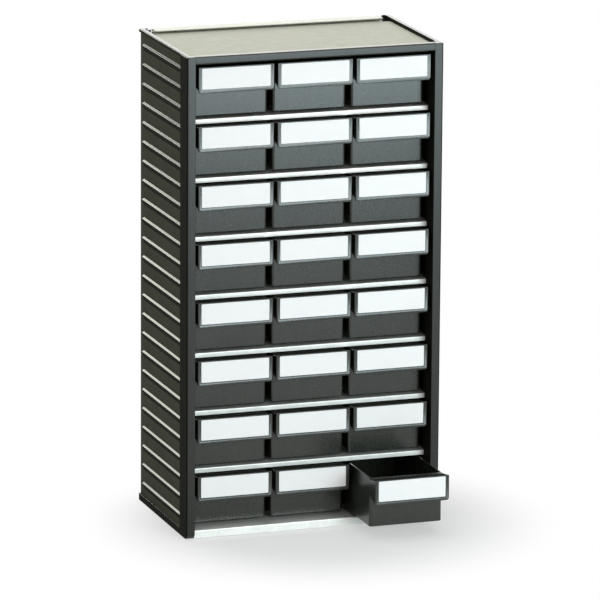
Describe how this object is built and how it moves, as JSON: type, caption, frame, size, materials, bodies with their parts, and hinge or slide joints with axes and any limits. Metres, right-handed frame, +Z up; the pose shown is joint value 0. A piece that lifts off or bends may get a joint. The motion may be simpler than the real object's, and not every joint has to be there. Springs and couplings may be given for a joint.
{
  "type": "drawer cabinet",
  "caption": "Tall small-parts cabinet: steel shelves between ribbed plastic side panels hold rows of plastic drawers with label handles, each sliding out to a stop.",
  "frame": {"origin": "middle of the cabinet's footprint, on the floor", "axes": "+Z up, the drawer fronts face -Y, +X to the right of someone who faces them"},
  "size_m": [0.3, 0.2505, 0.55],
  "materials": {
    "frame_plastic": "satin",
    "drawer_plastic": "satin",
    "zinc_steel": "zinc plated",
    "card": "plain card"
  },
  "bodies": {
    "cabinet": {"side_panel_left": "frame_plastic", "side_panel_right": "frame_plastic", "bottom_shelf": "zinc_steel", "shelves": "zinc_steel", "back_panel": "zinc_steel", "top_plate": "zinc_steel", "top_front_rail": "frame_plastic"},
    "drawer_r1c1": {"drawer_r1c1": "drawer_plastic", "label_r1c1": "card"},
    "drawer_r1c2": {"drawer_r1c2": "drawer_plastic", "label_r1c2": "card"},
    "drawer_r1c3": {"drawer_r1c3": "drawer_plastic", "label_r1c3": "card"},
    "drawer_r2c1": {"drawer_r2c1": "drawer_plastic", "label_r2c1": "card"},
    "drawer_r2c2": {"drawer_r2c2": "drawer_plastic", "label_r2c2": "card"},
    "drawer_r2c3": {"drawer_r2c3": "drawer_plastic", "label_r2c3": "card"},
    "drawer_r3c1": {"drawer_r3c1": "drawer_plastic", "label_r3c1": "card"},
    "drawer_r3c2": {"drawer_r3c2": "drawer_plastic", "label_r3c2": "card"},
    "drawer_r3c3": {"drawer_r3c3": "drawer_plastic", "label_r3c3": "card"},
    "drawer_r4c1": {"drawer_r4c1": "drawer_plastic", "label_r4c1": "card"},
    "drawer_r4c2": {"drawer_r4c2": "drawer_plastic", "label_r4c2": "card"},
    "drawer_r4c3": {"drawer_r4c3": "drawer_plastic", "label_r4c3": "card"},
    "drawer_r5c1": {"drawer_r5c1": "drawer_plastic", "label_r5c1": "card"},
    "drawer_r5c2": {"drawer_r5c2": "drawer_plastic", "label_r5c2": "card"},
    "drawer_r5c3": {"drawer_r5c3": "drawer_plastic", "label_r5c3": "card"},
    "drawer_r6c1": {"drawer_r6c1": "drawer_plastic", "label_r6c1": "card"},
    "drawer_r6c2": {"drawer_r6c2": "drawer_plastic", "label_r6c2": "card"},
    "drawer_r6c3": {"drawer_r6c3": "drawer_plastic", "label_r6c3": "card"},
    "drawer_r7c1": {"drawer_r7c1": "drawer_plastic", "label_r7c1": "card"},
    "drawer_r7c2": {"drawer_r7c2": "drawer_plastic", "label_r7c2": "card"},
    "drawer_r7c3": {"drawer_r7c3": "drawer_plastic", "label_r7c3": "card"},
    "drawer_r8c1": {"drawer_r8c1": "drawer_plastic", "label_r8c1": "card"},
    "drawer_r8c2": {"drawer_r8c2": "drawer_plastic", "label_r8c2": "card"},
    "drawer_r8c3": {"drawer_r8c3": "drawer_plastic", "label_r8c3": "card"}
  },
  "joints": [
    {"name": "slide_r1c1", "type": "slide", "parent": "cabinet", "child": "drawer_r1c1", "axis": [0, -1, 0], "range_m": [0, 0.148]},
    {"name": "slide_r1c2", "type": "slide", "parent": "cabinet", "child": "drawer_r1c2", "axis": [0, -1, 0], "range_m": [0, 0.148]},
    {"name": "slide_r1c3", "type": "slide", "parent": "cabinet", "child": "drawer_r1c3", "axis": [0, -1, 0], "range_m": [0, 0.148]},
    {"name": "slide_r2c1", "type": "slide", "parent": "cabinet", "child": "drawer_r2c1", "axis": [0, -1, 0], "range_m": [0, 0.148]},
    {"name": "slide_r2c2", "type": "slide", "parent": "cabinet", "child": "drawer_r2c2", "axis": [0, -1, 0], "range_m": [0, 0.148]},
    {"name": "slide_r2c3", "type": "slide", "parent": "cabinet", "child": "drawer_r2c3", "axis": [0, -1, 0], "range_m": [0, 0.148]},
    {"name": "slide_r3c1", "type": "slide", "parent": "cabinet", "child": "drawer_r3c1", "axis": [0, -1, 0], "range_m": [0, 0.148]},
    {"name": "slide_r3c2", "type": "slide", "parent": "cabinet", "child": "drawer_r3c2", "axis": [0, -1, 0], "range_m": [0, 0.148]},
    {"name": "slide_r3c3", "type": "slide", "parent": "cabinet", "child": "drawer_r3c3", "axis": [0, -1, 0], "range_m": [0, 0.148]},
    {"name": "slide_r4c1", "type": "slide", "parent": "cabinet", "child": "drawer_r4c1", "axis": [0, -1, 0], "range_m": [0, 0.148]},
    {"name": "slide_r4c2", "type": "slide", "parent": "cabinet", "child": "drawer_r4c2", "axis": [0, -1, 0], "range_m": [0, 0.148]},
    {"name": "slide_r4c3", "type": "slide", "parent": "cabinet", "child": "drawer_r4c3", "axis": [0, -1, 0], "range_m": [0, 0.148]},
    {"name": "slide_r5c1", "type": "slide", "parent": "cabinet", "child": "drawer_r5c1", "axis": [0, -1, 0], "range_m": [0, 0.148]},
    {"name": "slide_r5c2", "type": "slide", "parent": "cabinet", "child": "drawer_r5c2", "axis": [0, -1, 0], "range_m": [0, 0.148]},
    {"name": "slide_r5c3", "type": "slide", "parent": "cabinet", "child": "drawer_r5c3", "axis": [0, -1, 0], "range_m": [0, 0.148]},
    {"name": "slide_r6c1", "type": "slide", "parent": "cabinet", "child": "drawer_r6c1", "axis": [0, -1, 0], "range_m": [0, 0.148]},
    {"name": "slide_r6c2", "type": "slide", "parent": "cabinet", "child": "drawer_r6c2", "axis": [0, -1, 0], "range_m": [0, 0.148]},
    {"name": "slide_r6c3", "type": "slide", "parent": "cabinet", "child": "drawer_r6c3", "axis": [0, -1, 0], "range_m": [0, 0.148]},
    {"name": "slide_r7c1", "type": "slide", "parent": "cabinet", "child": "drawer_r7c1", "axis": [0, -1, 0], "range_m": [0, 0.148]},
    {"name": "slide_r7c2", "type": "slide", "parent": "cabinet", "child": "drawer_r7c2", "axis": [0, -1, 0], "range_m": [0, 0.148]},
    {"name": "slide_r7c3", "type": "slide", "parent": "cabinet", "child": "drawer_r7c3", "axis": [0, -1, 0], "range_m": [0, 0.148]},
    {"name": "slide_r8c1", "type": "slide", "parent": "cabinet", "child": "drawer_r8c1", "axis": [0, -1, 0], "range_m": [0, 0.148]},
    {"name": "slide_r8c2", "type": "slide", "parent": "cabinet", "child": "drawer_r8c2", "axis": [0, -1, 0], "range_m": [0, 0.148]},
    {"name": "slide_r8c3", "type": "slide", "parent": "cabinet", "child": "drawer_r8c3", "axis": [0, -1, 0], "range_m": [-0.075, 0.073]}
  ]
}
